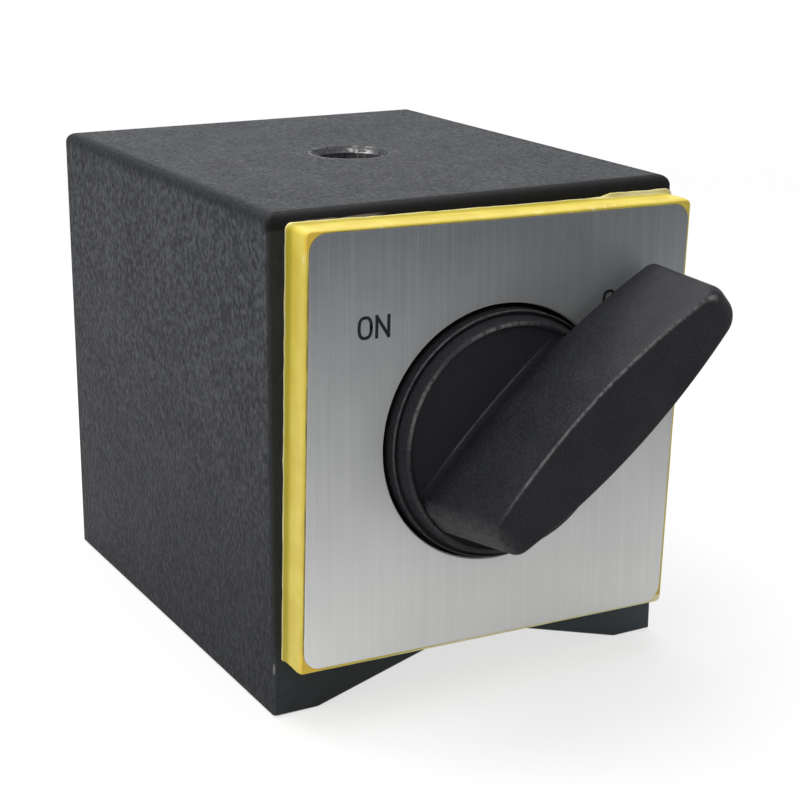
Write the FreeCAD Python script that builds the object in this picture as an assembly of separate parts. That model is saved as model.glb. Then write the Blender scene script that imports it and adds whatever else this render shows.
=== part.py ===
import FreeCAD, Part

# A switchable magnetic base: a steel block whose magnet rotor is turned by a knob.
# Millimetres, +Z up. The origin is the middle of the base, under the stand thread.
# The switch axis runs along Y, and the knob is on the -Y side.
# Everything is drawn in the OFF position, with the magnets' axis upright.

import math
import os

from FreeCAD import Vector

# Block: its outside is the rotor bore plus the walls around it
bore_radius = 16.0
side_wall = 9.0
roof_wall = 9.2
floor_wall = 8.15
block_depth = 60.0
edge_round = 1.2
upright_edge_round = 0.4
foot_width = 5.3
vee_depth = 5.65
top_spacer_width = 14.0
bottom_spacer_width = 10.0

# Blind M8 stand thread in the roof, drawn at its major radius
thread_radius = 4.0
thread_web = 1.2
thread_chamfer = 0.7

# Round end plates let into both ends of the bore
plate_seat_width = 5.6
plate_thickness = 3.0
plate_clearance = 0.05
plate_screw_margin = 0.4
plate_screw_angles = (90.0, 210.0, 330.0)

# Countersunk screws: M3 for the plates and the cover, M2.5 for the rotor caps
plate_screw_radius = 1.5
plate_screw_head_radius = 2.7
plate_screw_length = 9.0
cover_screw_radius = 1.5
cover_screw_head_radius = 2.8
cover_screw_length = 12.0
cap_screw_radius = 1.25
cap_screw_head_radius = 2.4
cap_screw_length = 9.0
cap_screw_angle = 57.0
cap_screw_margin = 0.5
screw_rim = 0.25
screw_hole_clearance = 0.1
screw_tip_gap = 1.0
socket_share = 0.42
socket_depth = 1.0

# Front cover and face plate
cover_side_margin = 1.4
cover_bottom_margin = 5.9
cover_top_margin = 1.45
cover_lip = 2.2
cover_corner = 0.8
cover_edge_round = 0.5
cover_screw_inset = 4.2
face_border = 0.5
face_thickness = 0.5
face_recess = 0.4
face_corner = 1.9

# Knob
knob_radius = 13.75
knob_gap = 0.5
flange_overlap = 1.5
flange_thickness = 1.8
flange_side_gap = 0.4
flange_play = 0.2
knob_back_gap = 0.4
knob_edge_rise = 1.2
ledge_width = 0.25
groove_width = 0.2
groove_depth = 0.3
rim_rise = 2.6
rim_outer_slope = 0.9
rim_width = 0.45
rim_inner_slope = 0.7
dish_depth = 1.2
knob_core_inner_radius = 7.2
knob_core_wall = 2.2
knob_core_depth = 3.4

# Leaf-shaped grip on the knob, along the pointer direction
pointer_angle = 39.5
grip_height = 11.7
grip_tip = 24.3
grip_tail = 10.6
grip_half_width = 4.1
grip_end_half_width = 2.2
grip_side_draft = 0.3
grip_tip_draft = 0.6
grip_tail_draft = 1.7
grip_corner = 1.4
grip_edge_round = 0.35
grip_root_depth = 1.0

# Spindles and their bushes
front_spindle_radius = 5.0
rear_spindle_radius = 4.0
drive_flat_depth = 1.6
rear_flat_depth = 1.3
drive_clearance = 0.1
drive_end_gap = 0.2
drive_length = 4.4
bush_wall = 2.0
running_clearance = 0.03
washer_width = 3.2
washer_thickness = 0.5
washer_clearance = 0.3

# Rotor
rotor_gap = 0.3
end_play = 0.1
cap_thickness = 3.5
magnet_thickness = 8.0
filler_width = 3.7

# Stop pin and the step in the front cap that it runs in
turn_angle = 90.0
stop_pin_radius = 1.2
stop_pin_inset = 0.1
stop_pin_angle = 45.0
stop_pin_reach = 1.9
stop_step_clearance = 0.2
stop_step_depth = 2.3

# Derived sizes
half_width = bore_radius + side_wall
half_depth = block_depth / 2
switch_height = vee_depth + floor_wall + bore_radius
block_height = switch_height + bore_radius + roof_wall
vee_half_width = half_width - foot_width
thread_depth = roof_wall - thread_web
plate_pocket_radius = bore_radius + plate_seat_width
plate_radius = plate_pocket_radius - plate_clearance
plate_screw_circle = plate_radius - plate_screw_head_radius - plate_screw_margin
plate_inner_y = half_depth - plate_thickness

cover_half_width = half_width - cover_side_margin
cover_top = block_height - cover_top_margin
flange_pocket_depth = knob_back_gap + flange_thickness + flange_play
cover_back_y = -half_depth
cover_front_y = cover_back_y - flange_pocket_depth - cover_lip
face_back_y = cover_front_y + face_recess
face_front_y = face_back_y - face_thickness

knob_hole_radius = knob_radius + knob_gap
flange_radius = knob_hole_radius + flange_overlap
knob_back_y = cover_back_y - knob_back_gap
flange_front_y = knob_back_y - flange_thickness
knob_edge_y = face_front_y - knob_edge_rise
rim_y = face_front_y - rim_rise
dish_y = rim_y + dish_depth
groove_radius = knob_radius - ledge_width
rim_radius = knob_radius - rim_outer_slope
dish_edge_radius = rim_radius - rim_width
grip_back_y = rim_y
grip_front_y = grip_back_y - grip_height

rotor_radius = bore_radius - rotor_gap
cap_outer_y = plate_inner_y - washer_thickness - end_play
cap_inner_y = cap_outer_y - cap_thickness
magnet_half_width = rotor_radius - filler_width
stop_pin_circle = rotor_radius - stop_pin_radius - stop_pin_inset
stop_step_radius = stop_pin_circle - stop_pin_radius - stop_step_clearance
cap_screw_circle = stop_step_radius - cap_screw_head_radius - cap_screw_margin

FRONT, REAR = -1, 1


def box(x, y, z):
    """A box from three (low, high) pairs."""
    return Part.makeBox(x[1] - x[0], y[1] - y[0], z[1] - z[0], Vector(x[0], y[0], z[0]))


def on_circle(radius, angle):
    """The (x, z) place at an angle round the switch axis, counterclockwise seen from the front."""
    turn = math.radians(angle)
    return radius * math.cos(turn), switch_height + radius * math.sin(turn)


def rod(radius, y, place=(0.0, switch_height)):
    """A round bar along Y between two depths."""
    low, high = min(y), max(y)
    return Part.makeCylinder(radius, high - low, Vector(place[0], low, place[1]), Vector(0, 1, 0))


def square_bar(half_side, y):
    """A square bar on the switch axis between two depths."""
    low, high = min(y), max(y)
    rise = (switch_height - half_side, switch_height + half_side)
    return box((-half_side, half_side), (low, high), rise)


def tube(inner, outer, y):
    """A round tube on the switch axis."""
    return rod(outer, y).cut(rod(inner, y))


def turned(profile, start_y=0.0, way=1, place=(0.0, switch_height)):
    """A solid turned about a line along Y from (radius, depth) points, depth growing one way."""
    points = [Vector(place[0] + r, start_y + way * depth, place[1]) for r, depth in profile]
    face = Part.Face(Part.makePolygon(points + points[:1]))
    return face.revolve(Vector(place[0], start_y, place[1]), Vector(0, 1, 0), 360)


def rounded_slab(half_x, z, y, corner):
    """A rectangular slab with rounded corners, between two depths."""
    low, high = min(y), max(y)
    slab = box((-half_x, half_x), (low, high), z)
    upright = [e for e in slab.Edges if abs(e.tangentAt(e.FirstParameter).y) > 0.99]
    return slab.makeFillet(corner, upright)


def screw(radius, head_radius, length, start_y, way, place):
    """A countersunk screw with a hex socket, its head face at start_y."""
    cone = screw_rim + head_radius - radius
    profile = [(0, 0), (head_radius, 0), (head_radius, screw_rim), (radius, cone)]
    body = turned(profile + [(radius, length), (0, length)], start_y, way, place)
    hexagon = [
        Vector(
            place[0] + head_radius * socket_share * math.cos(math.radians(60 * i)),
            start_y,
            place[1] + head_radius * socket_share * math.sin(math.radians(60 * i)),
        )
        for i in range(7)
    ]
    socket = Part.Face(Part.makePolygon(hexagon)).extrude(Vector(0, way * socket_depth, 0))
    return body.cut(socket)


def screw_seat(radius, head_radius, depth, start_y, way, place):
    """The countersunk clearance hole for a screw, through a plate of the given depth."""
    cone = screw_rim + head_radius - radius
    loose = radius + screw_hole_clearance
    profile = [(0, 0), (head_radius, 0), (head_radius, screw_rim)]
    profile += [(loose, cone - screw_hole_clearance), (loose, depth), (0, depth)]
    return turned(profile, start_y, way, place)


def screw_hole(radius, length, start_y, way, place):
    """The threaded hole that a screw ends in, drawn at the screw's own radius."""
    return rod(radius, (start_y, start_y + way * (length + screw_tip_gap)), place)


# Places of the fasteners
plate_screw_places = [on_circle(plate_screw_circle, a) for a in plate_screw_angles]
cover_screw_places = [
    (side * (cover_half_width - cover_screw_inset), height)
    for side in (-1, 1)
    for height in (cover_bottom_margin + cover_screw_inset, cover_top - cover_screw_inset)
]
cap_screw_places = [
    on_circle(cap_screw_circle, base + sign * cap_screw_angle)
    for base in (0.0, 180.0)
    for sign in (-1, 1)
]
stop_pin_place = on_circle(stop_pin_circle, stop_pin_angle)


def whole_block():
    """The block before it is split into poles and spacers."""
    block = box((-half_width, half_width), (-half_depth, half_depth), (0, block_height))
    soft = [e for e in block.Edges if e.CenterOfMass.z > block_height - edge_round]
    block = block.makeFillet(edge_round, soft)
    upright = [
        e
        for e in block.Edges
        if abs(abs(e.CenterOfMass.x) - half_width) < 1e-6
        and abs(abs(e.CenterOfMass.y) - half_depth) < 1e-6
    ]
    block = block.makeFillet(upright_edge_round, upright)
    vee = Part.Face(
        Part.makePolygon(
            [
                Vector(-vee_half_width, -half_depth, 0),
                Vector(0, -half_depth, vee_depth),
                Vector(vee_half_width, -half_depth, 0),
                Vector(-vee_half_width, -half_depth, 0),
            ]
        )
    ).extrude(Vector(0, block_depth, 0))
    bore = rod(bore_radius, (-half_depth, half_depth))
    block = block.cut(vee).cut(bore)
    for end in (FRONT, REAR):
        face_y = end * half_depth
        block = block.cut(rod(plate_pocket_radius, (face_y, end * plate_inner_y)))
        for place in plate_screw_places:
            block = block.cut(
                screw_hole(plate_screw_radius, plate_screw_length, face_y, -end, place)
            )
    for place in cover_screw_places:
        block = block.cut(
            screw_hole(cover_screw_radius, cover_screw_length, face_back_y, 1, place)
        )
    mouth = thread_radius + thread_chamfer
    thread = Part.makeCylinder(
        thread_radius, thread_depth, Vector(0, 0, block_height - thread_depth)
    )
    chamfer = Part.makeCone(
        thread_radius, mouth, thread_chamfer, Vector(0, 0, block_height - thread_chamfer)
    )
    return block.cut(thread).cut(chamfer)


def make_block():
    """Two iron poles, and the two brass spacers that keep them apart."""
    block = whole_block()
    depth = (-half_depth, half_depth)
    top = box((-top_spacer_width / 2, top_spacer_width / 2), depth, (switch_height, block_height))
    bottom = box((-bottom_spacer_width / 2, bottom_spacer_width / 2), depth, (0, switch_height))
    left = box((-half_width, 0), depth, (0, block_height))
    right = box((0, half_width), depth, (0, block_height))
    return {
        "pole_left": block.common(left).cut(top).cut(bottom),
        "pole_right": block.common(right).cut(top).cut(bottom),
        "spacer_top": block.common(top),
        "spacer_bottom": block.common(bottom),
    }


def end_plate(end, bush_outer):
    """A round plate that closes the bore and carries a bush."""
    face_y = end * half_depth
    plate = rod(plate_radius, (face_y, end * plate_inner_y))
    plate = plate.cut(rod(bush_outer, (face_y, end * plate_inner_y)))
    for place in plate_screw_places:
        plate = plate.cut(
            screw_seat(
                plate_screw_radius, plate_screw_head_radius, plate_thickness, face_y, -end, place
            )
        )
    return plate


def plate_screws(end):
    """The three screws of an end plate."""
    return Part.makeCompound(
        [
            screw(
                plate_screw_radius,
                plate_screw_head_radius,
                plate_screw_length,
                end * half_depth,
                -end,
                place,
            )
            for place in plate_screw_places
        ]
    )


def thrust_washer(end, spindle_radius):
    """The washer between an end plate and the rotor."""
    inner = spindle_radius + washer_clearance
    faces = (end * plate_inner_y, end * (plate_inner_y - washer_thickness))
    return tube(inner, inner + washer_width, faces)


def make_bearings():
    """End plates, bushes, washers, screws and the stop pin."""
    pieces = {}
    ends = (("front", FRONT, front_spindle_radius), ("rear", REAR, rear_spindle_radius))
    for name, end, radius in ends:
        inner = radius + running_clearance
        outer = inner + bush_wall
        pieces[name + "_plate"] = end_plate(end, outer)
        pieces[name + "_bush"] = tube(inner, outer, (end * half_depth, end * plate_inner_y))
        pieces[name + "_plate_screws"] = plate_screws(end)
        pieces[name + "_washer"] = thrust_washer(end, radius)
    pin_end = -cap_outer_y + stop_pin_reach
    pin = rod(stop_pin_radius, (-half_depth, pin_end), stop_pin_place)
    pieces["front_plate"] = pieces["front_plate"].cut(pin)
    pieces["stop_pin"] = pin
    return pieces


def make_cover():
    """The moulded front cover, its face plate and its screws."""
    height = (cover_bottom_margin, cover_top)
    cover = rounded_slab(cover_half_width, height, (cover_back_y, cover_front_y), cover_corner)
    front_edges = [
        e for e in cover.Edges if all(abs(v.Point.y - cover_front_y) < 1e-6 for v in e.Vertexes)
    ]
    cover = cover.makeFillet(cover_edge_round, front_edges)
    face_height = (cover_bottom_margin + face_border, cover_top - face_border)
    face_half = cover_half_width - face_border
    face = rounded_slab(face_half, face_height, (face_back_y, face_front_y), face_corner)
    pocket_floor = cover_back_y - flange_pocket_depth
    hole = rod(knob_hole_radius, (cover_back_y, face_front_y))
    pocket = rod(flange_radius + flange_side_gap, (cover_back_y, pocket_floor))
    cover = cover.cut(face).cut(hole).cut(pocket)
    face = face.cut(hole)
    seat_depth = cover_back_y - face_back_y
    screws = []
    for place in cover_screw_places:
        cover = cover.cut(
            screw_seat(
                cover_screw_radius, cover_screw_head_radius, seat_depth, face_back_y, 1, place
            )
        )
        screws.append(
            screw(
                cover_screw_radius,
                cover_screw_head_radius,
                cover_screw_length,
                face_back_y,
                1,
                place,
            )
        )
    return {
        "front_cover": cover,
        "face_plate": face,
        "cover_screws": Part.makeCompound(screws),
    }


def leaf_outline(y, tail, tip, half, end_half):
    """The grip's outline at one depth: two long arcs joined by short straight ends."""
    middle = (tip - tail) / 2
    corners = [(-tail, end_half), (middle, half), (tip, end_half)]
    upper = [Vector(along, y, across) for along, across in corners]
    lower = [Vector(p.x, y, -p.z) for p in upper]
    edges = [
        Part.Arc(*upper).toShape(),
        Part.LineSegment(upper[2], lower[2]).toShape(),
        Part.Arc(lower[2], lower[1], lower[0]).toShape(),
        Part.LineSegment(lower[0], upper[0]).toShape(),
    ]
    return Part.Wire(edges)


def make_grip():
    """The leaf-shaped grip, with draft on its sides and a sloping tail."""
    base = leaf_outline(
        grip_back_y,
        grip_tail + grip_tail_draft,
        grip_tip + grip_tip_draft,
        grip_half_width + grip_side_draft,
        grip_end_half_width + grip_side_draft,
    )
    front = leaf_outline(
        grip_front_y, grip_tail, grip_tip, grip_half_width, grip_end_half_width
    )
    leaf = Part.makeLoft([base, front], True, True)
    uprights = [
        e
        for e in leaf.Edges
        if abs(e.Vertexes[0].Point.y - e.Vertexes[-1].Point.y) > grip_height / 2
    ]
    leaf = leaf.makeFillet(grip_corner, uprights)
    rims = [
        e
        for e in leaf.Edges
        if all(abs(v.Point.y - grip_front_y) < 1e-4 for v in e.Vertexes)
    ]
    leaf = leaf.makeFillet(grip_edge_round, rims)
    bottom = [f for f in leaf.Faces if abs(f.CenterOfMass.y - grip_back_y) < 1e-4][0]
    root_end = dish_y + grip_root_depth
    root = bottom.extrude(Vector(0, root_end - grip_back_y, 0))
    for solid in (leaf, root):
        solid.rotate(Vector(0, 0, 0), Vector(0, -1, 0), pointer_angle)
        solid.translate(Vector(0, 0, switch_height))
    root = root.common(rod(dish_edge_radius, (grip_back_y, root_end)))
    return leaf.fuse(root)


def make_knob():
    """The moulded knob: retaining flange, raised rim, dish and grip in one piece."""
    depth = -knob_back_y
    profile = [
        (0, depth),
        (flange_radius, depth),
        (flange_radius, -flange_front_y),
        (knob_radius, -flange_front_y),
        (knob_radius, -knob_edge_y),
        (groove_radius, -knob_edge_y),
        (groove_radius, -knob_edge_y - groove_depth),
        (groove_radius - groove_width, -knob_edge_y - groove_depth),
        (rim_radius, -rim_y),
        (dish_edge_radius, -rim_y),
        (dish_edge_radius - rim_inner_slope, -dish_y),
        (0, -dish_y),
    ]
    disc = turned(profile, 0.0, -1)
    knob = disc.fuse(make_grip())
    core_depth = (knob_back_y, knob_back_y - knob_core_depth)
    core = tube(knob_core_inner_radius, knob_radius - knob_core_wall, core_depth)
    socket_half = front_spindle_radius - drive_flat_depth + drive_clearance
    socket_end = cover_back_y - drive_end_gap - drive_length - drive_end_gap
    socket = square_bar(socket_half, (knob_back_y, socket_end))
    return {"knob": knob.cut(core).cut(socket).removeSplitter()}


def make_spindles():
    """Both spindles: a round journal with a square that drives the rotor cap."""
    half = front_spindle_radius - drive_flat_depth
    journal_y = (-cap_outer_y, cover_back_y - drive_end_gap)
    front = rod(front_spindle_radius, journal_y)
    front = front.fuse(square_bar(half, (-cap_inner_y, -cap_outer_y)))
    drive_y = (journal_y[1], journal_y[1] - drive_length)
    front = front.fuse(square_bar(half, drive_y))
    rear = rod(rear_spindle_radius, (cap_outer_y, half_depth))
    rear_half = rear_spindle_radius - rear_flat_depth
    rear = rear.fuse(square_bar(rear_half, (cap_inner_y, cap_outer_y)))
    return {"front_spindle": front, "rear_spindle": rear}


def rotor_cap(end, square_half):
    """A brass end cap of the rotor, with a square hole for its spindle."""
    outer, inner = end * cap_outer_y, end * cap_inner_y
    cap = rod(rotor_radius, (outer, inner)).cut(square_bar(square_half, (outer, inner)))
    for place in cap_screw_places:
        cap = cap.cut(
            screw_seat(cap_screw_radius, cap_screw_head_radius, cap_thickness, outer, -end, place)
        )
    return cap


def stop_step():
    """The ring sector cut from the front cap, as wide as the pin's travel."""
    slack = math.degrees((stop_pin_radius + stop_step_clearance) / stop_pin_circle)
    start = math.radians(stop_pin_angle - turn_angle - slack)
    sweep = turn_angle + 2 * slack
    reach = rotor_radius + stop_step_clearance
    corners = [
        (stop_step_radius, -cap_outer_y),
        (reach, -cap_outer_y),
        (reach, -cap_outer_y + stop_step_depth),
        (stop_step_radius, -cap_outer_y + stop_step_depth),
    ]
    points = [
        Vector(r * math.cos(start), y, switch_height + r * math.sin(start)) for r, y in corners
    ]
    section = Part.Face(Part.makePolygon(points + points[:1]))
    return section.revolve(Vector(0, 0, switch_height), Vector(0, -1, 0), sweep)


def make_rotor():
    """Iron shoes above and below the magnets, brass fillers beside them, and the caps."""
    core_y = (-cap_inner_y, cap_inner_y)
    half_magnet = magnet_thickness / 2
    core = rod(rotor_radius, core_y)
    for end in (FRONT, REAR):
        for place in cap_screw_places:
            core = core.cut(
                screw_hole(cap_screw_radius, cap_screw_length, end * cap_outer_y, -end, place)
            )
    wide = (-rotor_radius, rotor_radius)
    upper = box(wide, core_y, (switch_height + half_magnet, switch_height + rotor_radius))
    lower = box(wide, core_y, (switch_height - rotor_radius, switch_height - half_magnet))
    band = (switch_height - half_magnet, switch_height + half_magnet)
    magnet_x = (-magnet_half_width, magnet_half_width)
    pieces = {
        "rotor_shoe_top": core.common(upper),
        "rotor_shoe_bottom": core.common(lower),
        "magnet_front": box(magnet_x, (core_y[0], 0), band),
        "magnet_rear": box(magnet_x, (0, core_y[1]), band),
        "rotor_filler_left": core.common(box((-rotor_radius, magnet_x[0]), core_y, band)),
        "rotor_filler_right": core.common(box((magnet_x[1], rotor_radius), core_y, band)),
        "front_cap": rotor_cap(FRONT, front_spindle_radius - drive_flat_depth).cut(stop_step()),
        "rear_cap": rotor_cap(REAR, rear_spindle_radius - rear_flat_depth),
    }
    for name, end in (("front_cap_screws", FRONT), ("rear_cap_screws", REAR)):
        pieces[name] = Part.makeCompound(
            [
                screw(
                    cap_screw_radius,
                    cap_screw_head_radius,
                    cap_screw_length,
                    end * cap_outer_y,
                    -end,
                    place,
                )
                for place in cap_screw_places
            ]
        )
    return pieces


def main():
    """Build every piece and write one STEP file for each."""
    os.makedirs("parts", exist_ok=True)
    builders = (make_block, make_bearings, make_cover, make_knob, make_spindles, make_rotor)
    for build in builders:
        for name, shape in build().items():
            piece = shape.Solids[0] if len(shape.Solids) == 1 else shape
            piece.exportStep(os.path.join("parts", name + ".step"))
            print(f"{name:20s} solids {len(piece.Solids)} volume {piece.Volume:10.2f}")


main()
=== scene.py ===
"""Looks of a switchable magnetic base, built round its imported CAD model, in metres."""

import logging
import math
from dataclasses import dataclass, field, replace
from enum import Enum
from typing import Any, Callable, ClassVar, Iterable, Optional, Sequence, Union

import bmesh
import bpy
from mathutils import Matrix, Vector, noise

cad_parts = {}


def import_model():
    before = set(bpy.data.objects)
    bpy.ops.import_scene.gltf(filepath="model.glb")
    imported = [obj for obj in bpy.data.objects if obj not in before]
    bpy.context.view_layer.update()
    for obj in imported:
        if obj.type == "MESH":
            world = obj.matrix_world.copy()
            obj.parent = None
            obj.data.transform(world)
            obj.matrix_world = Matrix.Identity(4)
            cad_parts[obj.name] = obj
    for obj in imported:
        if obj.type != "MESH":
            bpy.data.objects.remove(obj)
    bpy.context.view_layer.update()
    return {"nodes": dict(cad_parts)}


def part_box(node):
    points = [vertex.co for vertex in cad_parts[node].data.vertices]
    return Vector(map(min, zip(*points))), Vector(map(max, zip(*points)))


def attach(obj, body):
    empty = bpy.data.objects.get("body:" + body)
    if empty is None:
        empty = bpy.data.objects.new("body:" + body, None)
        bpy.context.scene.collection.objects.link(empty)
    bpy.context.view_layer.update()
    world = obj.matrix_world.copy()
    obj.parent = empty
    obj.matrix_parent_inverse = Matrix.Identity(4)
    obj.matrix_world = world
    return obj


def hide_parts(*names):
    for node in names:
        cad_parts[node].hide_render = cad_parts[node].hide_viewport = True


log = logging.getLogger("magnetic_base")

MM = 0.001
SAME_PLACE = 1e-7
WHITE = (1, 1, 1, 1)
CAMERA_RAY = "Is Camera Ray"
GLOSSY_RAY = "Is Glossy Ray"
THROUGH_RAY = "Is Transmission Ray"

Value = Union["Term", float]
Triple = tuple[float, float, float]
Colour = Triple
Pair = tuple[float, float]
Loop = list[Vector]


class Body(str, Enum):
    """The rigid bodies that a piece can ride on."""

    HOUSING = "housing"
    SWITCH = "switch"


# ---- shader maths


class Term:
    """A value in a shader. Arithmetic on it adds Math nodes."""

    def __init__(self, graph: "Graph", socket: bpy.types.NodeSocket) -> None:
        """Wrap one output socket of a graph."""
        self.graph = graph
        self.socket = socket

    def _math(self, operation: str, *values: Value) -> "Term":
        """Add one Math node that works on the values in order."""
        return self.graph.node("ShaderNodeMath", {"operation": operation}, dict(enumerate(values)))

    def __add__(self, other: Value) -> "Term":
        """Sum."""
        return self._math("ADD", self, other)

    __radd__ = __add__

    def __sub__(self, other: Value) -> "Term":
        """Difference."""
        return self._math("SUBTRACT", self, other)

    def __rsub__(self, other: Value) -> "Term":
        """Reflected difference."""
        return self._math("SUBTRACT", other, self)

    def __mul__(self, other: Value) -> "Term":
        """Product."""
        return self._math("MULTIPLY", self, other)

    __rmul__ = __mul__

    def __truediv__(self, other: Value) -> "Term":
        """Quotient."""
        return self._math("DIVIDE", self, other)

    def __pow__(self, other: Value) -> "Term":
        """Power."""
        return self._math("POWER", self, other)

    def __abs__(self) -> "Term":
        """Absolute value."""
        return self._math("ABSOLUTE", self)

    def least(self, other: Value) -> "Term":
        """The smaller of two values."""
        return self._math("MINIMUM", self, other)

    def most(self, other: Value) -> "Term":
        """The larger of two values."""
        return self._math("MAXIMUM", self, other)

    def sine(self) -> "Term":
        """Sine of the value."""
        return self._math("SINE", self)

    def reach(self, other: "Term") -> "Term":
        """Length of the slope over two sides at a right angle."""
        return (self * self + other * other) ** 0.5

    def rise(self, low: float, high: float) -> "Term":
        """Blend smoothly from 0 to 1.

        Args:
            low: The value that gives 0.
            high: The value that gives 1. It may be the smaller one.

        Returns:
            A term between 0 and 1.
        """
        return self.graph.node(
            "ShaderNodeMapRange",
            {"interpolation_type": "SMOOTHSTEP"},
            {"Value": self, "From Min": low, "From Max": high},
        )


class Graph:
    """The node tree of a material or of the surround."""

    def __init__(self, owner: Union[bpy.types.Material, bpy.types.World]) -> None:
        """Start with an empty tree.

        Args:
            owner: What the tree belongs to.
        """
        owner.use_nodes = True
        self.tree = owner.node_tree
        self.tree.nodes.clear()

    def node(
        self,
        kind: str,
        settings: Optional[dict[str, Any]] = None,
        inputs: Optional[dict[Union[str, int], Any]] = None,
        output: Union[str, int] = 0,
    ) -> Term:
        """Add one node.

        Args:
            kind: The node's type.
            settings: Its properties, set before its sockets.
            inputs: The number, colour or Term of each socket.
            output: The socket that is handed back.

        Returns:
            The wrapped output.
        """
        made = self.tree.nodes.new(kind)
        for key, value in (settings or {}).items():
            setattr(made, key, value)
        for key, value in (inputs or {}).items():
            if isinstance(value, Term):
                self.tree.links.new(value.socket, made.inputs[key])
            else:
                made.inputs[key].default_value = value
        return Term(self, made.outputs[output])

    def mix(self, factor: Value, low: Any, high: Any) -> Term:
        """Blend two colours.

        Args:
            factor: 0 gives low and 1 gives high.
            low: A colour or a Term.
            high: A colour or a Term.

        Returns:
            The blended colour.
        """
        ends = [c if isinstance(c, Term) else (*c, 1.0) for c in (low, high)]
        settings = {"data_type": "RGBA", "clamp_factor": True}
        return self.node("ShaderNodeMix", settings, {0: factor, 6: ends[0], 7: ends[1]}, 2)

    def layers(self, tone: Term, *coats: tuple[Value, Colour]) -> Term:
        """Lay colours over a tone.

        Args:
            tone: The first colour.
            *coats: How much each next colour covers, and the colour.

        Returns:
            The last colour.
        """
        for cover, colour in coats:
            tone = self.mix(cover, tone, colour)
        return tone

    def place(self) -> Term:
        """Find the point on the piece at rest.

        Returns:
            The point in millimetres.
        """
        where = self.node("ShaderNodeTexCoord", output="Object")
        inputs = {0: where, "Scale": 1 / MM}
        return self.node("ShaderNodeVectorMath", {"operation": "SCALE"}, inputs)

    def axes(self, place: Term) -> tuple[Term, Term, Term]:
        """Split a point.

        Args:
            place: The point.

        Returns:
            Its three coordinates.
        """
        split = self.node("ShaderNodeSeparateXYZ", inputs={0: place})
        outputs = split.socket.node.outputs
        return tuple(Term(self, outputs[i]) for i in range(3))

    def grain(
        self, place: Term, grain: Union[float, Triple], detail: float = 2.0, seed: float = 0.0
    ) -> Term:
        """Noise between 0 and 1.

        Args:
            place: The point in millimetres.
            grain: The size of a grain in millimetres, alike in all directions or for each axis.
            detail: Octaves of finer noise.
            seed: Shifts the pattern.

        Returns:
            The noise's value.
        """
        sizes = (grain,) * 3 if isinstance(grain, float) else grain
        scaled = self.node(
            "ShaderNodeVectorMath",
            {"operation": "MULTIPLY_ADD"},
            {0: place, 1: tuple(1 / s for s in sizes), 2: (seed, seed, seed)},
        )
        return self.node(
            "ShaderNodeTexNoise",
            {"noise_dimensions": "3D"},
            {"Vector": scaled, "Scale": 1.0, "Detail": detail, "Roughness": 0.55},
        )

    def bump(self, height: Term, depth: float, strength: float = 1.0) -> Term:
        """A normal from a height between 0 and 1, a full step of which is so many mm deep."""
        values = {"Height": height, "Distance": depth * MM, "Strength": strength}
        return self.node("ShaderNodeBump", inputs=values)

    def shader(self, **sockets: Any) -> Term:
        """Add a Principled shader.

        Args:
            **sockets: Its inputs, named with underscores for spaces.

        Returns:
            The shader.
        """
        inputs = {}
        for name, value in sockets.items():
            wide = isinstance(value, tuple) and len(value) == 3
            inputs[name.replace("_", " ")] = (*value, 1.0) if wide else value
        return self.node("ShaderNodeBsdfPrincipled", inputs=inputs)

    def rays(self, kind: str) -> Term:
        """1 for rays of one kind and 0 for others."""
        return self.node("ShaderNodeLightPath", output=kind)

    def blend(self, factor: Term, low: Term, high: Term) -> Term:
        """Mix two shaders."""
        return self.node("ShaderNodeMixShader", inputs={0: factor, 1: low, 2: high})

    def close(self, surface: Term, kind: str = "ShaderNodeOutputMaterial") -> None:
        """Join a shader to a new output node of that kind."""
        self.tree.links.new(surface.socket, self.tree.nodes.new(kind).inputs["Surface"])


# ---- finishes


@dataclass(frozen=True)
class Finish:
    """A look that follows the point on the piece, in millimetres."""

    def coat(self, place: Term) -> Term:
        """The shader at a point, which each finish gives."""
        raise NotImplementedError

    def build(self, name: str) -> bpy.types.Material:
        """Make the material.

        Args:
            name: Its name.

        Returns:
            The material.
        """
        material = bpy.data.materials.new(name)
        graph = Graph(material)
        graph.close(self.coat(graph.place()))
        return material


@dataclass(frozen=True)
class GroundSteel(Finish):
    """Bare steel with fine grinding lines along one axis."""

    colour: Colour = (0.56, 0.55, 0.53)
    shade: Colour = (0.36, 0.355, 0.35)
    line: Triple = (0.16, 14.0, 0.16)
    roughness: float = 0.3
    metallic: float = 1.0

    def coat(self, place: Term) -> Term:
        """Shade a point.

        Args:
            place: The point.

        Returns:
            The shader.
        """
        graph = place.graph
        lines = graph.grain(place, self.line, 3.0)
        cloud = graph.grain(place, 5.0, 3.0, 7.3)
        tone = graph.mix((lines * 0.6 + cloud * 0.5).rise(0.3, 0.8), self.shade, self.colour)
        return graph.shader(
            Base_Color=tone,
            Metallic=self.metallic,
            Roughness=lines * 0.22 + (self.roughness - 0.08),
            Normal=graph.bump(lines, 0.012),
        )


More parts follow.
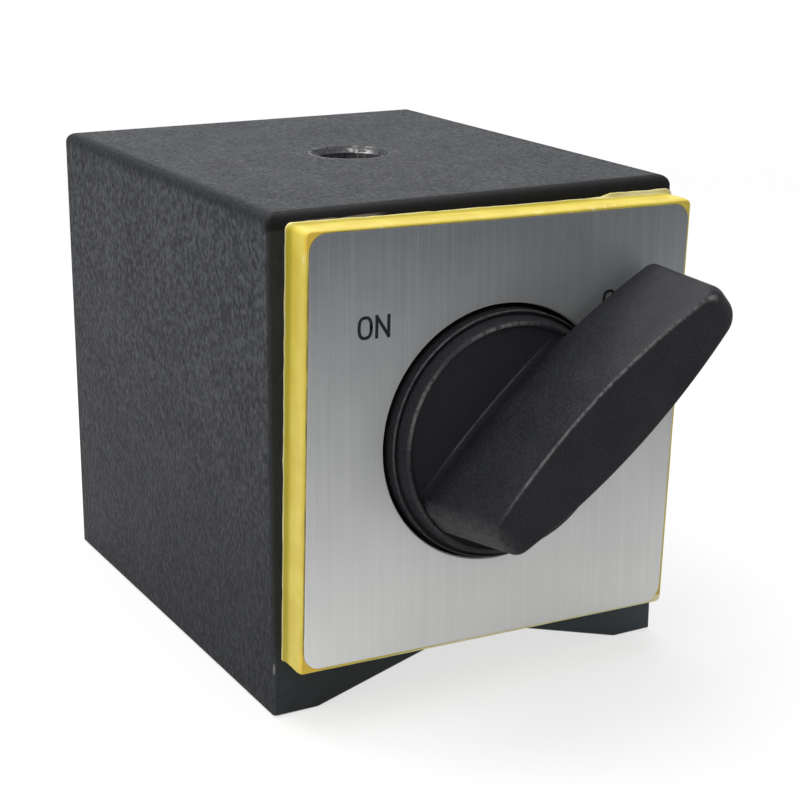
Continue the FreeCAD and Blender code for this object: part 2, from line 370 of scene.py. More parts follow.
@dataclass(frozen=True)
class TurnedMetal(Finish):
    """Metal faced on a lathe: fine rings about the switch axis."""

    colour: Colour
    shade: Colour
    ring: float = 0.55
    roughness: float = 0.3
    centre_height: float = 29.8

    def coat(self, place: Term) -> Term:
        """Shade a point.

        Args:
            place: The point.

        Returns:
            The shader.
        """
        graph = place.graph
        x, _, z = graph.axes(place)
        rise = z - self.centre_height
        radius = x.reach(rise)
        wobble = graph.grain(place, 2.5, 2.0, 3.1)
        rings = ((radius + wobble * 0.15) * (math.tau / self.ring)).sine() * 0.5 + 0.5
        cloud = graph.grain(place, 4.0, 4.0, 1.7)
        tone = graph.mix((cloud * 0.6 + rings * 0.35).rise(0.2, 0.85), self.shade, self.colour)
        return graph.shader(
            Base_Color=tone,
            Metallic=1.0,
            Roughness=cloud * 0.2 + (self.roughness - 0.06) + rings * 0.05,
            Normal=graph.bump(rings, 0.006),
        )


@dataclass(frozen=True)
class Mottled(Finish):
    """Two tones in patches, the second one rougher."""

    low: Colour
    high: Colour
    grain: float
    blend: Pair
    roughness: float
    rougher: float
    relief: float
    detail: float = 3.0
    seed: float = 0.0
    metallic: float = 0.0
    specular: float = 0.5
    fine: float = 0.0

    def coat(self, place: Term) -> Term:
        """Shade a point.

        Args:
            place: The point.

        Returns:
            The shader.
        """
        graph = place.graph
        patch = graph.grain(place, self.grain, self.detail, self.seed)
        height = graph.grain(place, self.fine, 2.0) if self.fine else patch
        return graph.shader(
            Base_Color=graph.mix(patch.rise(*self.blend), self.low, self.high),
            Metallic=self.metallic,
            Roughness=patch * self.rougher + self.roughness,
            Specular_IOR_Level=self.specular,
            Normal=graph.bump(height, self.relief),
        )


BLACK_OXIDE = Mottled(
    (0.035, 0.035, 0.038), (0.22, 0.215, 0.21), 0.8, (0.56, 0.78), 0.25, 0.3, 0.01,
    detail=4.0, seed=5.0, metallic=0.8, fine=0.25,
)
FERRITE = Mottled(
    (0.02, 0.02, 0.022), (0.05, 0.05, 0.055), 0.3, (0.3, 0.6), 0.4, 0.3, 0.03, detail=4.0
)
PRINT_INK = Mottled(
    (0.006, 0.0065, 0.009), (0.026, 0.028, 0.032), 0.25, (0.45, 0.8), 0.45, 0.2, 0.004,
    specular=0.15,
)


@dataclass(frozen=True)
class BlockFinish(Finish):
    """Crinkled grey paint on the poles, black on the front, bare where the block is machined."""

    half_width: float
    half_depth: float
    height: float
    vee_half_width: float
    vee_depth: float
    thread_mouth: float
    cover_top: float
    steel: GroundSteel = GroundSteel()
    dark: Colour = (0.0060, 0.0069, 0.0088)
    light: Colour = (0.0490, 0.0515, 0.0575)
    front: Colour = (0.0095, 0.010, 0.0101)
    front_light: Colour = (0.032, 0.034, 0.037)
    # Painted light: floor bounce on the black front, strongest low down and to the right.
    painted_light: Colour = (0.060, 0.072, 0.082)
    # A pale pinkish line on the front just above the cover's top.
    pale_line_colour: Colour = (0.19, 0.155, 0.16)
    # Painted shade: the near-black of the front face above the cover.
    rim: Colour = (0.0042, 0.0041, 0.0046)
    grain: Triple = (0.34, 0.56, 0.6)
    crumb: Triple = (0.8, 1.3, 1.3)
    flake: Triple = (0.9, 1.4, 0.35)
    wave: Triple = (5.0, 1.0, 0.5)
    cloud: float = 9.0
    chip: float = 0.8
    nick_height: float = 5.5
    nick_corner: Pair = (-40.0, -50.0)
    bright_place: float = 2.9
    line_side: Pair = (-2.5, -4.2)
    # Painted shade: the heights over which the sides darken towards the bottom.
    painted_shade_height: Pair = (54.0, 8.0)
    # Painted light: the heights and sides over which the floor bounce on the front grows.
    bounce_light_height: Pair = (10.0, 3.0)
    bounce_light_side: Pair = (-26.0, 22.0)
    pale_line_place: float = -17.0
    chip_mark: float = 0.26
    bore_mark: float = 0.03
    rim_mark: float = 0.2
    line_mark: float = 0.3
    scuff_mark: float = 0.14
    nick_mark: float = 0.25

    def _from_edge(self, x: Term, y: Term, z: Term) -> Term:
        """Distance to the block's nearest outside edge, in millimetres.

        Args:
            x: The point's place to the right.
            y: Its depth.
            z: Its height.

        Returns:
            The distance.
        """
        side = self.half_width - abs(x)
        end = self.half_depth - abs(y)
        top = (self.height - z).least(z)
        return side.most(end).least(end.most(top)).least(side.most(top))

    def _bare(self, place: Term, edge: Term) -> Term:
        """How much steel shows: all of the feet and the vee, some at the thread.

        Args:
            place: The point in millimetres.
            edge: Its distance to the nearest outside edge.

        Returns:
            1 on bare steel and 0 on paint.
        """
        graph = place.graph
        x, y, z = graph.axes(place)
        flake = graph.grain(place, self.flake, 3.0, 1.4)
        chip = graph.grain(place, self.chip, 2.0, 5.5)
        vee = (1 - abs(x) / self.vee_half_width) * self.vee_depth
        below = (z - vee.most(0.0)).rise(0.09, 0.05)
        nick = abs(z - self.nick_height).rise(0.8, 0.2) * edge.rise(0.3, 0.12)
        nick = nick * (x + y).rise(*self.nick_corner)
        out = x.reach(y) - self.thread_mouth
        bright = abs(x - self.bright_place).rise(1.3, 0.5) * chip.rise(0.4, 0.6) * self.chip_mark
        bore = out.rise(0.02, -0.1) * (bright * out.rise(-0.2, -0.35) + self.bore_mark)
        rim = out.rise(0.35, 0.05) * flake.rise(0.46, 0.6)
        scuff = out.rise(self.thread_mouth * 0.7, 0.0) * flake.rise(0.58, 0.7)
        line = out.rise(0.4, 0.1) * (x + y * 0.6).rise(*self.line_side)
        top = (self.height - z).rise(0.9, 0.5) * out.rise(-0.15, 0.0)
        marks = (rim * self.rim_mark).most(line * self.line_mark).most(scuff * self.scuff_mark)
        return below.most(marks * top).most(nick * self.nick_mark).most(bore)

    def coat(self, place: Term) -> Term:
        """Shade a point.

        Args:
            place: The point.

        Returns:
            The shader.
        """
        graph = place.graph
        x, y, z = graph.axes(place)
        speck = graph.grain(place, self.grain, 1.0)
        crumb = graph.grain(place, self.crumb, 2.0, 4.2)
        cloud = graph.grain(place, self.cloud, 3.0, 8.8)
        wave = graph.grain(place, self.wave, 2.0, 7.5)
        edge = self._from_edge(x, y, z)
        drop = self.height - z
        relief = speck * 0.8 + crumb * 0.3
        mottle = (relief + (cloud - 0.5) * 0.2).rise(0.3, 0.86)
        # Painted shade: darker along the top edges, a little darker on the top face, and darker
        # towards the bottom.
        top_edge_shade = edge.rise(1.9, 0.8) * drop.rise(2.4, 1.4)
        painted_shade = z.rise(*self.painted_shade_height)
        painted_shade_factor = (1 - top_edge_shade * 0.85) * (1 - painted_shade * 0.76) * (1 - drop.rise(0.7, 0.1) * 0.2)
        paint = graph.mix(mottle * painted_shade_factor, self.dark, self.light)
        wander = (crumb - 0.5) * 0.7 + drop.rise(1.3, 0.3) * 0.55
        fore = (y + self.half_depth - wander).rise(0.42, 0.26)
        # Painted bounce light from the floor on the front feet, stronger to the right.
        bounce_light_mask = z.rise(*self.bounce_light_height) * (x.rise(*self.bounce_light_side) * 0.75 + 0.25)
        over = z - self.cover_top
        # A pale pinkish wavy line on the front just above the cover's top, a few millimetres either
        # side of one place.
        pale_line_strip = abs(over - 0.32 - (wave - 0.5) * 0.3).rise(0.22, 0.08)
        pale_line = pale_line_strip * abs(x - self.pale_line_place).rise(6.0, 3.0) * wave.rise(0.4, 0.5)
        black = graph.layers(
            graph.mix(speck * 0.5 + cloud * 0.5, self.front, self.front_light),
            (bounce_light_mask, self.painted_light),
            # Painted shade: the front face above the cover is made near-black.
            (over.rise(-0.6, 0.0) * 0.85, self.rim),
            (pale_line, self.pale_line_colour),
        )
        coat = graph.shader(
            Base_Color=graph.mix(fore, paint, black),
            Roughness=0.62 - mottle * 0.1 + fore * 0.02,
            Specular_IOR_Level=0.1,
            Normal=graph.bump(relief * (1 - fore * 0.6), 0.16, 0.75),
        )
        bare = self._bare(place, edge)
        return graph.blend(bare, coat, self.steel.coat(place))


@dataclass(frozen=True)
class CoverFinish(Finish):
    """Yellow moulded cover, with painted shade near its back edge, and pale on its flash."""

    back: float
    front: float
    bottom: float
    centre_height: float
    pocket_radius: float
    lean: float
    colour: Colour = (0.54, 0.44, 0.06)
    deep: Colour = (0.48, 0.37, 0.036)
    # Painted shade on the back part of the cover's side.
    side_shade_colour: Colour = (0.31, 0.255, 0.018)
    # The flash's own pale colour, also used for painted glints and painted light on the bottom lip.
    pale: Colour = (0.70, 0.66, 0.38)
    # Painted shade in the gap beside the face plate's left edge.
    gap_shade_colour: Colour = (0.27, 0.205, 0.03)
    warm: Colour = (0.62, 0.40, 0.03)
    # Painted shade inside the pocket round the knob.
    painted_shade: Colour = (0.012, 0.011, 0.009)
    flash_side: Pair = (13.0, 14.5)
    glint_rise: Pair = (19.0, 21.0)
    corner_sum: Pair = (44.0, 45.2)
    gap_shade_place: float = 23.17

    def coat(self, place: Term) -> Term:
        """Shade a point.

        Args:
            place: The point.

        Returns:
            The shader.
        """
        graph = place.graph
        x, y, z = graph.axes(place)
        rise = z - self.centre_height
        cloud = graph.grain(place, 3.5, 4.0, 1.3)
        fine = graph.grain(place, 0.3, 2.0, 6.1)
        streak = graph.grain(place, (4.0, 0.3, 4.0), 2.0, 9.4)
        depth = (y - self.front) / (self.back - self.front)
        # Painted shade: a mottled darker yellow over the back part of the side.
        side_shade = depth.rise(0.55, 0.78) * depth.rise(0.97, 0.9)
        flash = depth.rise(0.9, 0.94).most(depth.rise(0.85, 0.88) * x.rise(*self.flash_side))
        flash = flash * (streak.rise(0.3, 0.65) * 0.55 + 0.4)
        glint = graph.grain(place, 0.9, 3.0, 2.2).rise(0.58, 0.66) * depth.rise(0.2, 0.0)
        glint = glint * rise.rise(*self.glint_rise)
        nearest = depth.rise(0.12, 0.04)
        corner = (abs(x) + abs(rise)).rise(*self.corner_sum) * nearest * x.rise(10.0, -10.0)
        # Painted shade: a brownish line on the cover's front beside the face plate's left edge.
        beside = abs(x + self.gap_shade_place - rise * self.lean)
        gap_shade = nearest * beside.rise(0.16, 0.08) * streak.rise(0.35, 0.6)
        # Painted light: the front of the bottom lip is made pale as if lit from below.
        foot = (z - self.bottom).rise(0.62, 0.5) * depth.rise(0.16, 0.1)
        tone = graph.layers(
            graph.mix(cloud.rise(0.35, 0.7), self.deep, self.colour),
            (side_shade * (0.55 + streak * 0.5), self.side_shade_colour),
            (gap_shade, self.gap_shade_colour),
            (corner * 0.75, self.warm),
            # Pale on the flash, with painted glints on the top lip and painted light on the bottom
            # lip.
            (flash.most(glint * 0.55).most(foot), self.pale),
            # Painted shade: darker inside the pocket round the knob.
            (x.reach(rise).rise(self.pocket_radius + 0.2, self.pocket_radius), self.painted_shade),
        )
        return graph.shader(
            Base_Color=tone,
            Roughness=cloud * 0.15 + 0.34,
            Specular_IOR_Level=0.4,
            Normal=graph.bump(fine * 0.3 + streak * 0.7, 0.02, 0.6),
        )


@dataclass(frozen=True)
class BrushedPlate(Finish):
    """Aluminium face plate brushed straight up and down, with a painted reflection, darker towards
    the top.
    """

    bottom: float
    top: float
    hole_radius: float
    centre_height: float
    # Painted highlight round the hole's edge.
    edge: Colour = (0.66, 0.66, 0.65)
    # Painted reflection: the tone goes from pale at the bottom to dark at the top.
    low: Colour = (0.64, 0.64, 0.63)
    high: Colour = (0.145, 0.155, 0.167)
    line: Triple = (0.13, 1.0, 22.0)
    streak: Triple = (0.8, 1.0, 60.0)

    def coat(self, place: Term) -> Term:
        """Shade a point.

        Args:
            place: The point.

        Returns:
            The shader.
        """
        graph = place.graph
        x, _, z = graph.axes(place)
        rise = z - self.centre_height
        # Painted highlight: a pale ring at the hole's edge.
        hole_highlight = x.reach(rise).rise(self.hole_radius + 0.2, self.hole_radius + 0.1)
        lines = graph.grain(place, self.line, 3.0)
        streaks = graph.grain(place, self.streak, 2.0, 5.5)
        smear = graph.grain(place, 9.0, 3.0, 3.3)
        # Painted reflection: darker towards the top of the plate.
        painted_reflection_height = (z - self.bottom) / (self.top - self.bottom)
        streaky = (lines - 0.5) * 0.18 + (streaks - 0.5) * 0.07 + (smear - 0.5) * 0.16
        tone = graph.mix(painted_reflection_height + streaky, self.low, self.high)
        tone = graph.mix(hole_highlight * 0.8, tone, self.edge)
        return graph.shader(
            Base_Color=tone,
            Metallic=0.45,
            Roughness=lines * 0.16 + 0.48,
            Specular_IOR_Level=0.3,
            Normal=graph.bump(lines, 0.008),
        )


@dataclass(frozen=True)
class KnobFinish(Finish):
    """Black moulded plastic with a fine spark grain, pale where worn and where light is painted."""

    rim_y: float
    dish_radius: float
    centre_height: float
    colour: Colour = (0.0072, 0.0076, 0.0092)
    light: Colour = (0.0185, 0.0191, 0.0215)
    # Pale for worn spots and for painted highlights and bounce light.
    rubbed_and_lit: Colour = (0.30, 0.30, 0.305)
    # Painted light: makes the dish floor paler than its shade.
    painted_light: Colour = (0.026, 0.027, 0.031)

    def coat(self, place: Term) -> Term:
        """Shade a point.

        Args:
            place: The point.

        Returns:
            The shader.
        """
        graph = place.graph
        spark = graph.grain(place, 0.28, 1.5)
        cloud = graph.grain(place, 4.0, 4.0, 2.9)
        nick = graph.grain(place, 0.55, 3.0, 6.6)
        # The attribute holds both worn spots and painted light.
        wear_and_light = graph.node("ShaderNodeAttribute", {"attribute_name": "wear_and_light"}, output="Fac")
        tone = graph.mix((spark * 0.7 + cloud * 0.4).rise(0.35, 0.8), self.colour, self.light)
        x, y, z = graph.axes(place)
        rise = z - self.centre_height
        # Painted light: the dish floor is made paler.
        inside = x.reach(rise).rise(self.dish_radius + 0.8, self.dish_radius)
        tone = graph.mix(inside * y.rise(self.rim_y, self.rim_y + 0.8) * 0.75, tone, self.painted_light)
        rub_and_light = wear_and_light * nick.rise(0.2, 0.62)
        return graph.shader(
            Base_Color=graph.mix(rub_and_light, tone, self.rubbed_and_lit),
            Roughness=0.46 + spark * 0.12 - rub_and_light * 0.12,
            Specular_IOR_Level=0.11,
            Normal=graph.bump(spark, 0.05, 0.6),
        )


@dataclass(frozen=True)
class FloorFinish(Finish):
    """Pale paper that shows the shadow close by and plain white further out."""

    near_white: float
    colour: Colour = (0.86, 0.86, 0.86)
    shade: Colour = (0.83, 0.83, 0.83)

    def coat(self, place: Term) -> Term:
        """Shade a point.

        Args:
            place: The point.

        Returns:
            The shader.
        """
        graph = place.graph
        x, y, _ = graph.axes(place)
        pale = graph.shader(
            Base_Color=graph.mix(graph.grain(place, 40.0, 3.0), self.shade, self.colour),
            Roughness=0.9,
            Specular_IOR_Level=0.1,
        )
        white = graph.node("ShaderNodeEmission", inputs={"Color": WHITE, "Strength": 1.0})
        away = x.reach(y)
        seen = away.rise(60.0, 420.0) * (1 - self.near_white) + self.near_white
        far = graph.rays(GLOSSY_RAY).most(graph.rays(THROUGH_RAY)) * away.rise(250.0, 900.0)
        return graph.blend((graph.rays(CAMERA_RAY) * seen).most(far), pale, white)


# ---- shape helpers


def clamp(value: float) -> float:
    """Hold a value between 0 and 1."""
    return min(1.0, max(0.0, value))


def turned(x: float, z: float, degrees: float) -> Pair:
    """Turn a point about the origin, clockwise with x to the right and z up."""
    c, s = math.cos(math.radians(degrees)), math.sin(math.radians(degrees))
    return x * c + z * s, z * c - x * s


def arc(radius: float, start: float, sweep: float, steps: int) -> list[Pair]:
    """Points on a circle about the origin, one more than the steps between them."""
    angles = [start + sweep * k / steps for k in range(steps + 1)]
    return [(radius * math.cos(a), radius * math.sin(a)) for a in angles]


def put(name: str, data: bpy.types.ID) -> bpy.types.Object:
    """Put a new object into the scene.

    Args:
        name: Its name.
        data: What it holds.

    Returns:
        The object.
    """
    made = bpy.data.objects.new(name, data)
    bpy.context.scene.collection.objects.link(made)
    return made


def fillet(points: Sequence[Pair], radii: Sequence[float], steps: int = 6) -> list[Pair]:
    """Round the inner corners of an open profile.

    Args:
        points: The profile's corners.
        radii: The radius at each corner. The first and last are not used.
        steps: Segments in each round.

    Returns:
        The profile with arcs in place of its corners.
    """
    made = [points[0]]
    for before, corner, after, radius in zip(points, points[1:], points[2:], radii[1:]):
        here = Vector(corner)
        back, ahead = Vector(before) - here, Vector(after) - here
        turn = back.angle(ahead)
        if radius <= 0 or turn > math.pi - 0.01:
            made.append(corner)
            continue
        reach = min(radius / math.tan(turn / 2), back.length * 0.49, ahead.length * 0.49)
        start, end = here + back.normalized() * reach, here + ahead.normalized() * reach
        for i in range(steps + 1):
            t = i / steps
            bend = start * (1 - t) ** 2 + here * (2 * t * (1 - t)) + end * t**2
            made.append((bend.x, bend.y))
    return made + [points[-1]]


def between(start: Pair, end: Pair, steps: int) -> list[Pair]:
    """The points that cut a straight run into equal steps, without its ends."""
    (x, z), (right, up) = start, end
    return [(x + (right - x) * k / steps, z + (up - z) * k / steps) for k in range(1, steps)]


def spread(profile: Sequence[Pair], step: float) -> list[Pair]:
    """Add points to a profile.

    Args:
        profile: Its points.
        step: The longest run that stays whole.

    Returns:
        The profile with the points added.
    """
    made = [profile[0]]
    for before, after in zip(profile, profile[1:]):
        count = max(1, math.ceil(math.dist(before, after) / step))
        made += between(before, after, count) + [after]
    return made


def loft(
    name: str,
    loops: Sequence[Loop],
    wear_and_light: Optional[Callable[[Vector], float]] = None,
    closed: bool = False,
    caps: bool = True,
    sharp: float = 40.0,
) -> bpy.types.Object:
    """Join loops of equally many points into one mesh.

    Args:
        name: The piece's name.
        loops: Rings of points in millimetres.
        wear_and_light: How pale a point is, for worn spots and painted light, 0 to 1, from its
            place in millimetres.
        closed: Joins the last ring to the first.
        caps: Closes both ends with a flat face.
        sharp: The edge angle in degrees above which shading breaks.

    Returns:
        The object, linked to the scene.
    """
    count = len(loops[0])
    verts = [p * MM for loop in loops for p in loop]
    rows = len(loops)
    faces = []
    for i in range(rows if closed else rows - 1):
        a, b = i * count, ((i + 1) % rows) * count
        for j in range(count):
            k = (j + 1) % count
            faces.append((a + j, a + k, b + k, b + j))
    if caps and not closed:
        faces.append(tuple(range(count))[::-1])
        faces.append(tuple((rows - 1) * count + j for j in range(count)))
    mesh = bpy.data.meshes.new(name)
    mesh.from_pydata(verts, [], faces)
    form = bmesh.new()
    form.from_mesh(mesh)
    bmesh.ops.remove_doubles(form, verts=form.verts, dist=SAME_PLACE)
    bmesh.ops.recalc_face_normals(form, faces=form.faces)
    form.to_mesh(mesh)
    form.free()
    if wear_and_light is not None:
        layer = mesh.attributes.new("wear_and_light", "FLOAT", "POINT")
        for vertex, item in zip(mesh.vertices, layer.data):
            item.value = wear_and_light(vertex.co / MM)
    mesh.polygons.foreach_set("use_smooth", [True] * len(mesh.polygons))
    mesh.set_sharp_from_angle(angle=math.radians(sharp))
    return put(name, mesh)


def join(name: str, pieces: Sequence[bpy.types.Object]) -> bpy.types.Object:
    """Merge pieces into the first one and rename it.

    Args:
        name: The name of the result.
        pieces: The objects to merge.

    Returns:
        The merged object.
    """
    with bpy.context.temp_override(
        active_object=pieces[0], selected_editable_objects=list(pieces), object=pieces[0]
    ):
        bpy.ops.object.join()
    pieces[0].name = name
    return pieces[0]


def dress(piece: bpy.types.Object, material: bpy.types.Material) -> bpy.types.Object:
    """Give a piece one material in place of what it had.

    Args:
        piece: The piece.
        material: Its material.

    Returns:
        The piece.
    """
    piece.data.materials.clear()
    piece.data.materials.append(material)
    return piece


# ---- sub-assemblies

BRASS = ((0.60, 0.42, 0.17), (0.44, 0.30, 0.11))
GROUND_BRASS = ((0.62, 0.44, 0.18), (0.46, 0.32, 0.12))


@dataclass
class Frame:
    """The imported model's sizes in millimetres, read once."""

    nodes: dict[str, bpy.types.Object]
    known: dict[str, tuple[Vector, Vector]] = field(default_factory=dict)

    def span(self, node: str) -> tuple[Vector, Vector]:
        """Measure a node, once.

        Args:
            node: Its name.

        Returns:
            Its lowest and highest corner in millimetres.
        """
        if node not in self.known:
            low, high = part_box(node)
            self.known[node] = (low / MM, high / MM)
        return self.known[node]

    @property
    def switch_height(self) -> float:
        """Height of the switch axis, the middle of the front spindle."""
        low, high = self.span("front_spindle")
        return (low.z + high.z) / 2

    def dress(self, names: Iterable[str], material: bpy.types.Material) -> None:
        """Put one material on several CAD nodes."""
        for name in names:
            dress(self.nodes[name], material)


@dataclass
class Block:
    """The magnet block: two painted poles, their spacers, and the stand thread."""

    frame: Frame
    vee_half_width: float = 19.7
    vee_depth: float = 5.65
    thread_radius: float = 4.0
    thread_mouth: float = 4.7
    thread_depth: float = 8.0
    thread_chamfer: float = 0.7
    ridge_height: float = 0.62
    ridge_fill: float = 0.86
    ridge_foot: float = 0.56
    ridge_crest: float = 0.09
    run_in: int = 14
    pitch: float = 1.25
    turn_steps: int = 64
    thread_steel: Finish = GroundSteel(
        (0.62, 0.61, 0.61), (0.02, 0.02, 0.021), (1.1, 1.1, 0.9), 0.5, 0.3
    )

    def finish(self) -> BlockFinish:
        """The block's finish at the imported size.

        Returns:
            The finish.
        """
        low, high = self.frame.span("pole_left")
        return BlockFinish(
            half_width=-low.x,
            half_depth=high.y,
            height=high.z,
            vee_half_width=self.vee_half_width,
            vee_depth=self.vee_depth,
            thread_mouth=self.thread_mouth,
            cover_top=self.frame.span("front_cover")[1].z,
        )

    def thread(self) -> bpy.types.Object:
        """Wind the ridges of the stand thread down the hole.

        Returns:
            The ridges.
        """
        top = self.frame.span("spacer_top")[1].z
        start, end = top - self.thread_depth + 0.1, top - self.thread_chamfer * 0.6
        turns = (end - start - self.pitch) / self.pitch
        steps = int(turns * self.turn_steps)
        seat = self.thread_radius + 0.01
        foot, tip = (self.pitch * self.ridge_fill * v for v in (self.ridge_foot, self.ridge_crest))
        loops = []
        for i in range(steps + 1):
            angle = math.tau * i / self.turn_steps
            crest = seat - self.ridge_height * min(1.0, i / self.run_in, (steps - i) / self.run_in)
            base = start + self.pitch * (0.5 + i / self.turn_steps)
            section = ((seat, -foot), (crest, -tip), (crest, tip), (seat, foot))
            loops.append(
                [Vector((r * math.cos(angle), r * math.sin(angle), base + h)) for r, h in section]
            )
        return loft("stand_thread_ridges", loops, sharp=20.0)

    def build(self) -> list[bpy.types.Object]:
        """Dress the block's nodes and add the thread.

        Returns:
            The pieces that were added.
        """
        paint = self.finish().build("block_paint")
        self.frame.dress(("pole_left", "pole_right", "spacer_top"), paint)
        brass = GroundSteel(*GROUND_BRASS)
        over_brass = replace(self.finish(), steel=brass).build("brass_spacer_paint")
        self.frame.dress(("spacer_bottom",), over_brass)
        ridges = dress(self.thread(), self.thread_steel.build("thread_steel"))
        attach(ridges, Body.HOUSING.value)
        return [ridges]


@dataclass
class Metalwork:
    """Pieces that keep their CAD shape and only get a finish."""

    frame: Frame
    rows: ClassVar[tuple[tuple[str, Finish, tuple[str, ...]], ...]] = ()

    def build(self) -> list[bpy.types.Object]:
        """Dress the nodes of each row.

        Returns:
            An empty list, because nothing is added.
        """
        for name, finish, nodes in self.rows:
            self.frame.dress(nodes, finish.build(name))
        return []


class Ends(Metalwork):
    """Round end plates with their bushes, washers, screws and the stop pin."""

    rows = (
        (
            "plate_steel",
            TurnedMetal((0.42, 0.42, 0.42), (0.26, 0.26, 0.265)),
            ("front_plate", "rear_plate"),
        ),
        ("bush_brass", TurnedMetal(*BRASS, 0.3), ("front_bush", "rear_bush")),
        ("pin_steel", GroundSteel(), ("front_washer", "rear_washer", "stop_pin")),
        (
            "screw_black",
            BLACK_OXIDE,
            ("front_plate_screws", "rear_plate_screws", "cover_screws"),
        ),
    )


class Rotor(Metalwork):
    """The magnet rotor inside the bore, and its spindles."""

    rows = (
        (
            "rotor_iron",
            TurnedMetal((0.42, 0.42, 0.43), (0.30, 0.30, 0.31)),
            ("rotor_shoe_top", "rotor_shoe_bottom"),
        ),
        (
            "rotor_brass",
            TurnedMetal(*BRASS),
            ("front_cap", "rear_cap", "rotor_filler_left", "rotor_filler_right"),
        ),
        (
            "spindle_steel",
            TurnedMetal((0.47, 0.47, 0.47), (0.32, 0.32, 0.32), 0.35),
            ("front_spindle", "rear_spindle"),
        ),
        ("magnet_ferrite", FERRITE, ("magnet_front", "magnet_rear")),
        ("cap_screw_black", BLACK_OXIDE, ("front_cap_screws", "rear_cap_screws")),
    )


